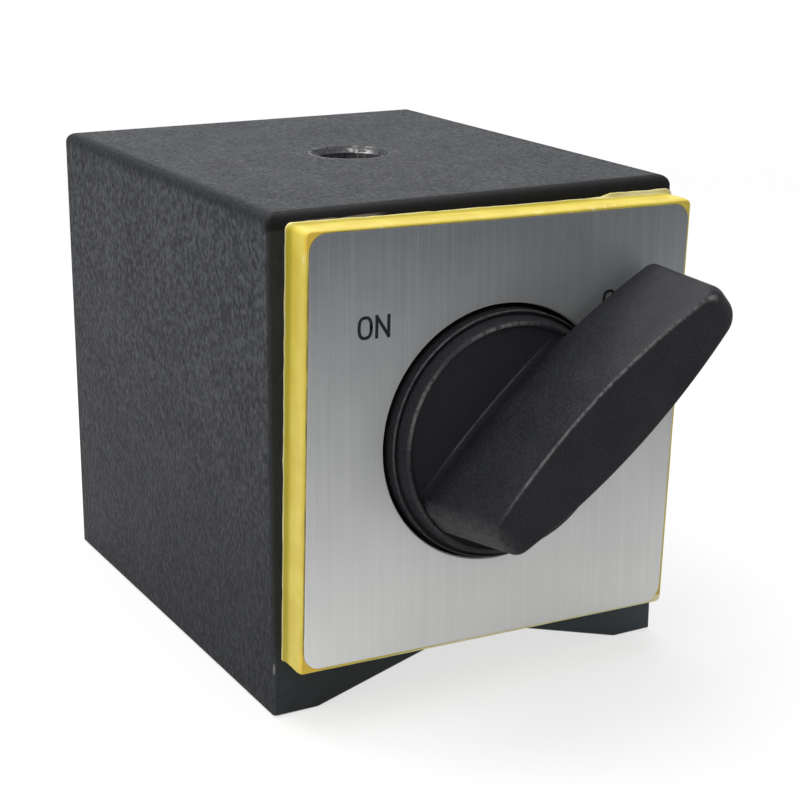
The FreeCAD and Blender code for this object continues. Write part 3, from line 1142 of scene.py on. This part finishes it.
@dataclass
class Front:
    """The yellow cover and its face plate, turned a little on their screws."""

    frame: Frame
    hole_radius: float = 14.25
    cover_hole_radius: float = 14.6
    pocket_radius: float = 16.15
    corner: float = 0.8
    crisp_corner: float = 0.3
    least_corner: float = 0.3
    face_corner: float = 1.9
    plate_gap: float = 0.02
    recess: float = 0.4
    face_chamfer: float = 0.04
    hole_chamfer: float = 0.13
    flash_start: float = 14.3
    flash_foot: float = 15.0
    flash_run: float = 3.0
    flash_height: float = 0.36
    flash_rag: float = 0.1
    spring: float = 0.26
    spring_lift: float = 0.6
    spring_below: float = 10.0
    spring_reach: float = 24.0
    wanders: tuple[tuple[float, ...], ...] = ((1.0, 0.42, 0.6, 3.0), (0.5, 1.7, 1.0, 9.0))
    cover_turn: float = 1.2
    face_turn: float = 1.35
    straight_steps: int = 44
    corner_steps: int = 9
    front_inset: float = 0.28
    front_rag: float = 0.01
    lip_round: float = 0.03
    lip_rag: float = 0.02
    pocket_depth: float = 2.4
    side: tuple[Triple, ...] = (
        (0.30, 0.02, 0.0),
        (0.03, 0.05, 0.10),
        (0.00, 0.22, 0.12),
        (0.03, 0.38, 0.10),
        (0.07, 0.55, 0.03),
        (0.08, 1.2, 0.02),
        (0.07, 2.2, 0.0),
        (0.04, 3.0, 0.0),
        (0.04, 3.7, 0.0),
        (0.07, 4.1, 0.02),
        (0.12, 4.36, 0.02),
        (0.19, 4.52, 0.02),
    )

    def _outline(self, node: str, inset: float, corner: float) -> list[Pair]:
        """A rounded rectangle about the switch axis.

        Args:
            node: The CAD node whose outline is followed.
            inset: How far inside that outline it runs.
            corner: The corner radius before the inset.

        Returns:
            Points (x, height over the axis), counterclockwise from the lower left corner.
        """
        low, high = self.frame.span(node)
        axis = self.frame.switch_height
        left, right = low.x + inset, high.x - inset
        bottom, top = low.z + inset - axis, high.z - inset - axis
        wide = max(corner - inset, self.least_corner)
        crisp = min(wide, self.crisp_corner) if node == "front_cover" else wide
        quarter = math.pi / 2
        rounds = [
            [(x + dx, z + dz) for dx, dz in arc(radius, start, quarter, self.corner_steps)]
            for x, z, start, radius in (
                (left + crisp, bottom + crisp, math.pi, crisp),
                (right - wide, bottom + wide, 1.5 * math.pi, wide),
                (right - wide, top - wide, 0.0, wide),
                (left + wide, top - wide, quarter, wide),
            )
        ]
        made: list[Pair] = []
        for here, ahead in zip(rounds, rounds[1:] + rounds[:1]):
            made += here + between(here[-1], ahead[0], self.straight_steps)
        return made

    def _ring(self, outline: Sequence[Pair], y: float, turn: float, ragged: float = 0.0) -> Loop:
        """Set an outline at a depth, turned about the switch axis.

        Args:
            outline: Points about the axis.
            y: The depth in millimetres.
            turn: The turn in degrees, clockwise seen from the front.
            ragged: How far the edge wanders, in millimetres.

        Returns:
            The loop in the frame.
        """
        loop = []
        for x, z in outline:
            wander = ragged * sum(
                share * noise.noise(Vector((x * across, y * along, z * across + seed)))
                for share, across, along, seed in self.wanders
            )
            if ragged >= self.flash_rag:
                start = clamp(x - self.flash_start)
                foot = clamp((z - self.flash_foot) / self.flash_run)
                wander += self.flash_height * start * foot
            reach = max(abs(x), abs(z))
            x, z = x * (1 + wander / reach), z * (1 + wander / reach)
            right = max(0.0, x) / self.spring_reach
            x += self.spring * right * (z + self.spring_below) / self.spring_reach
            z += self.spring * self.spring_lift * right * max(0.0, z) / self.spring_reach
            x, z = turned(x, z, turn)
            loop.append(Vector((x, y, z + self.frame.switch_height)))
        return loop

    def _circle(self, outline: Sequence[Pair], radius: float) -> list[Pair]:
        """A circle whose points look out at the points of an outline."""
        return [(x * radius / math.hypot(x, z), z * radius / math.hypot(x, z)) for x, z in outline]

    def cover(self) -> bpy.types.Object:
        """Shape the cover: flash, a swelling side, a round front edge, recess and pocket.

        Returns:
            The cover.
        """
        low, high = self.frame.span("front_cover")
        back, front = high.y, low.y
        loops = [
            self._ring(self._outline("front_cover", inset, self.corner), y, self.cover_turn, rag)
            for inset, y, rag in (
                *((inset, back - depth, rag) for inset, depth, rag in self.side),
                (self.front_inset, front, self.front_rag),
            )
        ]
        lip = self._outline("face_plate", -self.plate_gap - self.lip_round, self.face_corner)
        rim = self._outline("face_plate", -self.plate_gap, self.face_corner)
        loops.append(self._ring(lip, front, self.face_turn, self.lip_rag))
        loops.append(self._ring(rim, front + self.lip_round, self.face_turn, self.lip_rag))
        loops.append(self._ring(rim, front + self.recess, self.face_turn))
        hole = self._circle(rim, self.cover_hole_radius)
        pocket = self._circle(rim, self.pocket_radius)
        floor, mouth = back - self.pocket_depth, back - self.side[0][1]
        for outline, y in (
            (hole, front + self.recess), (hole, floor), (pocket, floor), (pocket, mouth)
        ):
            loops.append(self._ring(outline, y, self.cover_turn))
        return loft("moulded_cover", loops, closed=True, sharp=32.0)

    def plate(self) -> bpy.types.Object:
        """Shape the face plate, with a fine chamfer round its edge and its hole.

        Returns:
            The plate.
        """
        low, high = self.frame.span("face_plate")
        back, front, chamfer = high.y, low.y, self.face_chamfer
        outer = self._outline("face_plate", 0.0, self.face_corner)
        inner = self._outline("face_plate", chamfer, self.face_corner)
        hole = self._circle(outer, self.hole_radius)
        wide = self._circle(outer, self.hole_radius + self.hole_chamfer)
        rings = (
            (outer, back),
            (outer, front + chamfer),
            (inner, front),
            (wide, front),
            (hole, front + self.hole_chamfer),
            (hole, back),
        )
        loops = [self._ring(outline, y, self.face_turn) for outline, y in rings]
        return loft("brushed_face", loops, closed=True, sharp=25.0)

    def build(self) -> list[bpy.types.Object]:
        """Make, dress and seat the cover and the plate.

        Returns:
            The pieces that were added.
        """
        low, high = self.frame.span("front_cover")
        finish = CoverFinish(
            back=high.y,
            front=low.y,
            bottom=low.z,
            centre_height=self.frame.switch_height,
            pocket_radius=self.pocket_radius,
            lean=math.sin(math.radians(self.face_turn)),
        )
        cover = dress(self.cover(), finish.build("cover_yellow"))
        face_low, face_high = self.frame.span("face_plate")
        brushed = BrushedPlate(face_low.z, face_high.z, self.hole_radius, self.frame.switch_height)
        plate = dress(self.plate(), brushed.build("face_brushed"))
        for piece, node, slot in (
            (cover, "front_cover", "cover_plastic"),
            (plate, "face_plate", "face_aluminium"),
        ):
            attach(piece, Body.HOUSING.value)
            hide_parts(node)
        return [cover, plate]


@dataclass
class Printing:
    """The words ON and OFF, printed in plain upright letters."""

    frame: Frame
    height: float = 2.45
    width: float = 1.74
    stroke: float = 0.36
    gap: float = 0.29
    film: float = 0.012
    film_step: float = 0.15
    squareness: float = 0.8
    bowl_steps: int = 48
    turn: float = 1.0
    on_centre: Pair = (-15.4, 13.57)
    off_centre: Pair = (15.7, 13.0)

    def _letters(self) -> dict[str, list[list[Pair]]]:
        """Draw each letter.

        Returns:
            The strokes of each letter, as lines in a box one high and one wide.
        """
        bowl = [
            tuple(0.5 + 0.5 * math.copysign(abs(v) ** self.squareness, v) for v in point)
            for point in arc(1.0, 0.0, math.tau, self.bowl_steps)
        ]
        stem = [(0.0, 0.0), (0.0, 1.0)]
        return {
            "O": [bowl],
            "N": [stem, [(0.0, 1.0), (1.0, 0.0)], [(1.0, 0.0), (1.0, 1.0)]],
            "F": [stem, [(0.0, 1.0), (0.9, 1.0)], [(0.0, 0.5), (0.8, 0.5)]],
        }

    def _ribbon(self, name: str, line: Sequence[Pair], y: float, film: float) -> bpy.types.Object:
        """A flat stroke of ink along a line.

        Args:
            name: The stroke's name.
            line: Points (x, z) in millimetres.
            y: The depth of the plate's face.
            film: The thickness of the ink.

        Returns:
            The stroke.
        """
        half = self.stroke / 2
        closed = line[0] == line[-1]
        points = [Vector(p) for p in (line[:-1] if closed else line)]
        loops = []
        for i, point in enumerate(points):
            before = points[i - 1] if closed or i else point
            after = points[(i + 1) % len(points)] if closed or i + 1 < len(points) else point
            along = (after - before).normalized()
            side = Vector((-along.y, along.x)) * half
            end = along * (0 if closed else half * (-1 if i == 0 else 1))
            a, b = point + side + end, point - side + end
            section = ((a, y), (b, y), (b, y - film), (a, y - film))
            loops.append([Vector((p.x, depth, p.y)) for p, depth in section])
        return loft(name, loops, closed=closed)

    def word(self, text: str, centre: Pair) -> bpy.types.Object:
        """Set one word.

        Args:
            text: The letters.
            centre: Its middle, over the switch axis.

        Returns:
            The word as one piece.
        """
        face = self.frame.span("face_plate")[0].y
        tall, wide = self.height - self.stroke, self.width - self.stroke
        step = self.width + self.gap
        start = -(step * len(text) - self.gap) / 2 + self.stroke / 2
        strokes = []
        for i, letter in enumerate(text):
            for line in self._letters()[letter]:
                points = []
                for u, v in line:
                    x, z = turned(start + i * step + u * wide, (v - 0.5) * tall, self.turn)
                    points.append((centre[0] + x, self.frame.switch_height + centre[1] + z))
                film = self.film * (1 + self.film_step * len(strokes))
                strokes.append(self._ribbon(f"{text}_stroke_{len(strokes)}", points, face, film))
        return join(f"print_{text.lower()}", strokes)

    def build(self) -> list[bpy.types.Object]:
        """Print both words on the plate.

        Returns:
            The pieces that were added.
        """
        ink = PRINT_INK.build("print_ink")
        words = [self.word("ON", self.on_centre), self.word("OFF", self.off_centre)]
        for word in words:
            dress(word, ink)
            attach(word, Body.HOUSING.value)
        return words


@dataclass
class Knob:
    """The black knob: flange, rim, dish and the leaf-shaped grip across it."""

    frame: Frame
    flange_radius: float = 15.75
    flange_thickness: float = 1.8
    ledge_radius: float = 13.75
    ledge_y: float = -35.9
    groove_width: float = 0.2
    groove_depth: float = 0.3
    rim_base: float = 13.3
    rim_y: float = -37.3
    rim_outer: float = 12.85
    rim_inner: float = 12.4
    dish_radius: float = 11.7
    dish_y: float = -36.1
    pointer: float = 39.5
    tip: float = 24.72
    tip_round: float = 1.8
    tip_cut: float = 1.6
    tail: float = 10.6
    half_width: float = 4.1
    end_half_width: float = 2.2
    side_draft: float = 0.3
    tip_draft: float = 0.27
    tail_draft: float = 1.7
    corner: float = 1.85
    edge_round: float = 0.34
    fillet_radius: float = 0.2
    # Painted highlights on the knob's crest and ledge and at the grip's tip, with some worn spots.
    crest_highlight_reach: float = 0.2
    ledge_highlight_reach: float = 0.14
    light_side: float = math.radians(130)
    bright_patch: float = math.radians(97)
    tip_highlight_spot: Pair = (22.9, 2.1)
    segments: int = 256
    centre_gap: float = 0.02
    wear_and_light_step: float = 0.3
    # Strengths, places and reaches of the knob's painted highlights, with some worn spots, and of
    # the painted bounce light on the grip's tail.
    crest_shade: float = 0.5
    ledge_shade: float = 0.45
    upper_reach: float = 1.2
    line_start: float = -9.6
    line_end: float = 23.2
    line_fade: float = 5.0
    line_shade: float = 0.3
    spot_reach: float = 1.1
    spot_shade: float = 0.6
    edge_shade: float = 0.03
    foot_start: float = -8.2
    foot_end: float = 9.5
    foot_fade: float = 3.0
    foot_shade: float = 0.22
    tail_reach: float = 1.3
    tail_fade: float = 1.2
    tail_bounce_light: float = 0.085
    disc_rounds: tuple[float, ...] = (0, 0.2, 0.2, 0.1, 0.12, 0.04, 0.05, 0.05, 0.3, 0.18, 0.5, 0)
    back_inset: float = 1.2
    back_round: float = 0.2
    back_step: float = 0.06
    front_step: float = 0.15
    front_inset: float = 1.4
    edge_gap: float = 0.05
    root_gap: float = 0.1
    root_overlap: float = 0.3
    root_inset: float = 0.004
    side_steps: int = 5
    nose_steps: int = 8
    edge_steps: int = 10
    fillet_steps: int = 6
    bow_steps: int = 24
    corner_steps: int = 10

    def _ring(self, radius: float, y: float) -> Loop:
        """A ring about the switch axis."""
        ring = arc(radius, 0.0, math.tau, self.segments)[:-1]
        return [Vector((x, y, self.frame.switch_height + z)) for x, z in ring]

    def _disc_wear_and_light(self, point: Vector) -> float:
        """Say how pale the disc is: painted highlight with worn spots, most on its edges, high and
        to the left.

        Args:
            point: A point on it, in millimetres.

        Returns:
            0 where it is as moulded and 1 where it is painted pale.
        """
        x, z = point.x, point.z - self.frame.switch_height
        radius = math.hypot(x, z)
        angle = math.atan2(z, x)
        # Painted highlight: strongest on the side that faces the light, brighter in patches round
        # the crest.
        facing = 0.2 + 0.8 * max(0.0, math.cos(angle - self.light_side)) ** 1.5
        patch = 0.62 + 0.38 * math.cos(6 * (angle - self.bright_patch))
        middle = (self.rim_outer + self.rim_inner) / 2
        off = max(0.0, abs(radius - middle) - 0.1)
        crest = 1 - math.hypot(off, point.y - self.rim_y) / self.crest_highlight_reach
        ledge = math.hypot(radius - self.ledge_radius, point.y - self.ledge_y)
        ledge = 1 - ledge / self.ledge_highlight_reach
        return facing * max(self.crest_shade * patch * crest, self.ledge_shade * ledge, 0.0)

    def disc(self) -> bpy.types.Object:
        """Shape the disc, with small rounds on its edges and a groove behind its rim.

        Returns:
            The disc.
        """
        back = self.frame.span("knob")[1].y
        front_of_flange = back - self.flange_thickness
        corners = [
            (self.centre_gap, back),
            (self.flange_radius, back),
            (self.flange_radius, front_of_flange),
            (self.ledge_radius, front_of_flange),
            (self.ledge_radius, self.ledge_y),
            (self.rim_base + self.groove_width, self.ledge_y),
            (self.rim_base + self.groove_width * 0.8, self.ledge_y + self.groove_depth),
            (self.rim_base, self.ledge_y + self.groove_depth),
            (self.rim_outer, self.rim_y),
            (self.rim_inner, self.rim_y),
            (self.dish_radius, self.dish_y),
            (self.centre_gap, self.dish_y),
        ]
        profile = fillet(corners, self.disc_rounds)
        fine = [profile[0]] + spread(profile[1:-1], self.wear_and_light_step) + [profile[-1]]
        rings = [self._ring(r, y) for r, y in fine]
        return loft("knob_disc", rings, self._disc_wear_and_light, sharp=50.0)

    def _leaf(self, grow: float, draft: float, cut: float = 0.0) -> list[Pair]:
        """The grip's outline, seen from the front, along and across the pointer.

        Args:
            grow: How far it is widened all round.
            draft: 1 at the grip's root, 0 at its front.
            cut: How far its tip is drawn back.

        Returns:
            Points counterclockwise from the middle of the upper side.
        """
        tip = self.tip + self.tip_draft * draft + grow - cut
        tail = self.tail + self.tail_draft * draft + grow
        half = self.half_width + self.side_draft * draft + grow
        end = self.end_half_width + self.side_draft * draft + grow
        corner = self.corner + grow
        middle, reach = (tip - tail) / 2, (tip + tail) / 2
        bow = (reach**2 + (half - end) ** 2) / (2 * (half - end))
        base = half - bow
        centre_x = reach - corner
        centre_y = base + math.sqrt((bow - corner) ** 2 - centre_x**2)
        lean = math.atan2(centre_x, centre_y - base)
        side = arc(bow, math.pi / 2, -lean, self.bow_steps)
        bend = arc(corner, math.pi / 2 - lean, lean - math.pi / 2, self.corner_steps)
        quarter = [(x, base + y) for x, y in side]
        quarter += [(centre_x + x, centre_y + y) for x, y in bend[1:]]
        quarter.append((reach, centre_y / 2))
        right = quarter + [(x, -y) for x, y in reversed(quarter[:-1])]
        right.insert(len(quarter), (reach, -centre_y / 2))
        left = [(-x, y) for x, y in reversed(right)]
        return [(middle + x, y) for x, y in right[:-1] + left[:-1]]

    def _level(self, outline: Sequence[Pair], y: float, limit: float = math.inf) -> Loop:
        """Set a grip outline at a depth, turned to the pointer.

        Args:
            outline: Points along and across the pointer.
            y: The depth.
            limit: The radius that it is kept inside.

        Returns:
            The loop in the frame.
        """
        loop = []
        for along, across in outline:
            x, z = turned(along, across, -self.pointer)
            shrink = min(1.0, limit / math.hypot(x, z))
            loop.append(Vector((x * shrink, y, self.frame.switch_height + z * shrink)))
        return loop

    def _grip_wear_and_light(self, point: Vector) -> float:
        """Say how pale the grip is painted: its upper front edge, a spot at its tip, foot and tail.

        Args:
            point: A point on it, in millimetres.

        Returns:
            0 where it is as moulded and 1 where it is painted pale.
        """
        front = self.frame.span("knob")[0].y
        along, across = turned(point.x, point.z - self.frame.switch_height, self.pointer)
        depth = (point.y - front) / self.edge_round
        edge = max(0.0, math.sin(2 * math.asin(1 - depth))) ** 2 if 0 <= depth <= 1 else 0.0
        # Painted highlight, with some worn spots, along the upper front edge.
        upper = clamp(across / self.upper_reach)
        start = clamp((along - self.line_start) / self.line_fade)
        line = upper * start * clamp(self.line_end - along) * self.line_shade
        # Painted highlight: a spot at the tip.
        spot = max(0.0, 1 - math.dist((along, across), self.tip_highlight_spot) / self.spot_reach)
        line = edge * max(line, spot * self.spot_shade, self.edge_shade)
        # Painted highlight along the foot's fillet.
        half_round = self.fillet_radius * 0.5
        foot = max(0.0, 1 - abs(point.y - self.dish_y + self.fillet_radius * 0.4) / half_round)
        foot *= upper * clamp((along - self.foot_start) / self.foot_fade) * self.foot_shade
        foot *= clamp((self.foot_end - along) / self.line_fade)
        # Painted bounce light from the floor on the tail's end face.
        draft = (point.y - front) / (self.rim_y - front)
        end = -along - self.tail - self.tail_draft * min(1.0, draft)
        tail = self.tail_bounce_light * clamp((end + self.tail_reach) / self.tail_fade)
        return max(line, foot, tail)

    def grip(self) -> bpy.types.Object:
        """Shape the leaf, with rounded edges, and its root in the dish.

        Returns:
            The grip.
        """
        front = self.frame.span("knob")[0].y
        depth = self.rim_y - front
        loops = []

        def level(y: float, grow: float) -> None:
            """Add one ring of the leaf, its tip drawn back near the front.

            Args:
                y: Its depth.
                grow: How far it is widened.
            """
            share = max(0.0, 1 - (y - front) / self.tip_round)
            cut = self.tip_cut * (1 - math.sqrt(1 - share**2))
            loops.append(self._level(self._leaf(grow, (y - front) / depth, cut), y))

        level(self.rim_y, -self.back_inset)
        level(self.rim_y, -self.back_round)
        level(self.rim_y - self.back_step, -self.back_step)
        level(self.rim_y - self.back_round, 0.0)
        side = depth - self.back_round - self.tip_round
        for k in range(1, self.side_steps):
            level(self.rim_y - self.back_round - side * k / self.side_steps, 0.0)
        nose = self.tip_round - self.edge_round - self.edge_gap
        for k in range(self.nose_steps + 1):
            level(front + self.tip_round - nose * k / self.nose_steps, 0.0)
        for k in range(self.edge_steps + 1):
            a = math.pi / 2 * k / self.edge_steps
            level(front + self.edge_round * (1 - math.sin(a)), -self.edge_round * (1 - math.cos(a)))
        level(front, -self.edge_round - self.front_step)
        level(front, -self.front_inset)
        leaf = loft("knob_leaf", loops, self._grip_wear_and_light, sharp=60.0)

        loops = []
        limit = self.rim_inner - self.root_gap
        for k in range(self.fillet_steps + 1):
            a = math.pi / 2 * k / self.fillet_steps
            grow = self.fillet_radius * (1 - math.sin(a))
            y = self.dish_y - self.fillet_radius * (1 - math.cos(a))
            loops.append(self._level(self._leaf(grow, 1.0), y, limit))
        seat = self.rim_y - self.root_overlap
        inner = self._leaf(-self.root_inset, (seat - front) / depth)
        loops.append(self._level(inner, seat, limit))
        root = loft("knob_root", loops, self._grip_wear_and_light, sharp=60.0)
        return join("knob_grip", [leaf, root])

    def build(self) -> list[bpy.types.Object]:
        """Make, dress and seat the knob.

        Returns:
            The pieces that were added.
        """
        finish = KnobFinish(self.rim_y, self.dish_radius, self.frame.switch_height)
        black = finish.build("knob_black")
        pieces = [self.disc(), self.grip()]
        for piece in pieces:
            dress(piece, black)
            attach(piece, Body.SWITCH.value)
            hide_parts("knob")
        return pieces


# ---- studio


@dataclass
class Studio:
    """A pale floor, soft lamps and the camera."""

    azimuth: float = -29.224
    elevation: float = 16.939
    roll: float = 0.383
    distance: float = 227.628
    lens: float = 82.873
    sensor: float = 36.0
    aim_height: float = 27.5
    slide: float = 6.165
    lift: float = -3.24
    floor_size: float = 6.0
    floor_gap: float = 0.0002
    near_white: float = 0.7
    ambient: float = 0.44

    def camera(self) -> None:
        """Place the camera by its turn about the object."""
        a, e, r = (math.radians(v) for v in (self.azimuth, self.elevation, self.roll))
        back = Vector((math.sin(a) * math.cos(e), -math.cos(a) * math.cos(e), math.sin(e)))
        level = Vector((math.cos(a), math.sin(a), 0.0))
        rise = back.cross(level)
        right = level * math.cos(r) + rise * math.sin(r)
        up = rise * math.cos(r) - level * math.sin(r)
        aim = Vector((0, 0, self.aim_height)) + right * self.slide + up * self.lift
        data = bpy.data.cameras.new("camera")
        data.lens, data.sensor_width = self.lens, self.sensor
        data.clip_start = 0.01
        view = put("camera", data)
        turn = Matrix((right, up, back)).transposed().to_4x4()
        view.matrix_world = Matrix.Translation((aim + back * self.distance) * MM) @ turn
        bpy.context.scene.camera = view

    def lamp(self, name: str, place: Triple, size: float, watts: float, aim: Triple) -> None:
        """Add one square soft lamp.

        Args:
            name: The lamp's name.
            place: Where it hangs, in metres.
            size: Its side in metres.
            watts: Its power.
            aim: The point that it faces.
        """
        data = bpy.data.lights.new(name, "AREA")
        data.energy, data.size = watts, size
        lamp = put(name, data)
        lamp.location = place
        lamp.rotation_euler = (Vector(aim) - Vector(place)).to_track_quat("-Z", "Y").to_euler()

    def floor(self) -> None:
        """A pale floor that keeps the shadow close by and shows as white further out."""
        half = self.floor_size / 2
        mesh = bpy.data.meshes.new("floor")
        corners = [(-half, -half, 0), (half, -half, 0), (half, half, 0), (-half, half, 0)]
        mesh.from_pydata(corners, [], [(0, 1, 2, 3)])
        floor = put("floor", mesh)
        floor.location = (0, 0, -self.floor_gap)
        dress(floor, FloorFinish(self.near_white).build("pale_floor"))

    def world(self) -> None:
        """A white surround for the eye and a dim even light for the rest."""
        world = bpy.data.worlds.new("surround")
        bpy.context.scene.world = world
        graph = Graph(world)
        strength = graph.rays(CAMERA_RAY).most(graph.rays(GLOSSY_RAY)).most(graph.rays(THROUGH_RAY))
        strength = strength * (1 - self.ambient) + self.ambient
        inputs = {"Color": WHITE, "Strength": strength}
        graph.close(graph.node("ShaderNodeBackground", inputs=inputs), "ShaderNodeOutputWorld")

    def build(self) -> None:
        """Set up the camera, lamps, floor and surround."""
        self.camera()
        self.lamp("overhead", place=(-0.02, 0.07, 0.34), size=0.3, watts=1.55, aim=(0, 0, 0.02))
        self.lamp("left_fill", place=(-0.44, -0.1, 0.4), size=0.5, watts=1.75, aim=(0, 0, 0.03))
        self.floor()
        self.world()
        bpy.context.scene.view_settings.view_transform = "Standard"


def main() -> None:
    """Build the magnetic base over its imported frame."""
    logging.basicConfig(level=logging.INFO, format="%(name)s: %(message)s")
    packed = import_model()
    frame = Frame(packed["nodes"])
    Studio().build()
    for kind in (Block, Ends, Rotor, Front, Printing, Knob):
        for piece in kind(frame).build():
            faces = len(piece.data.polygons)
            log.info("%s made %s, %d faces", kind.__name__, piece.name, faces)


if __name__ == "__main__":
    main()
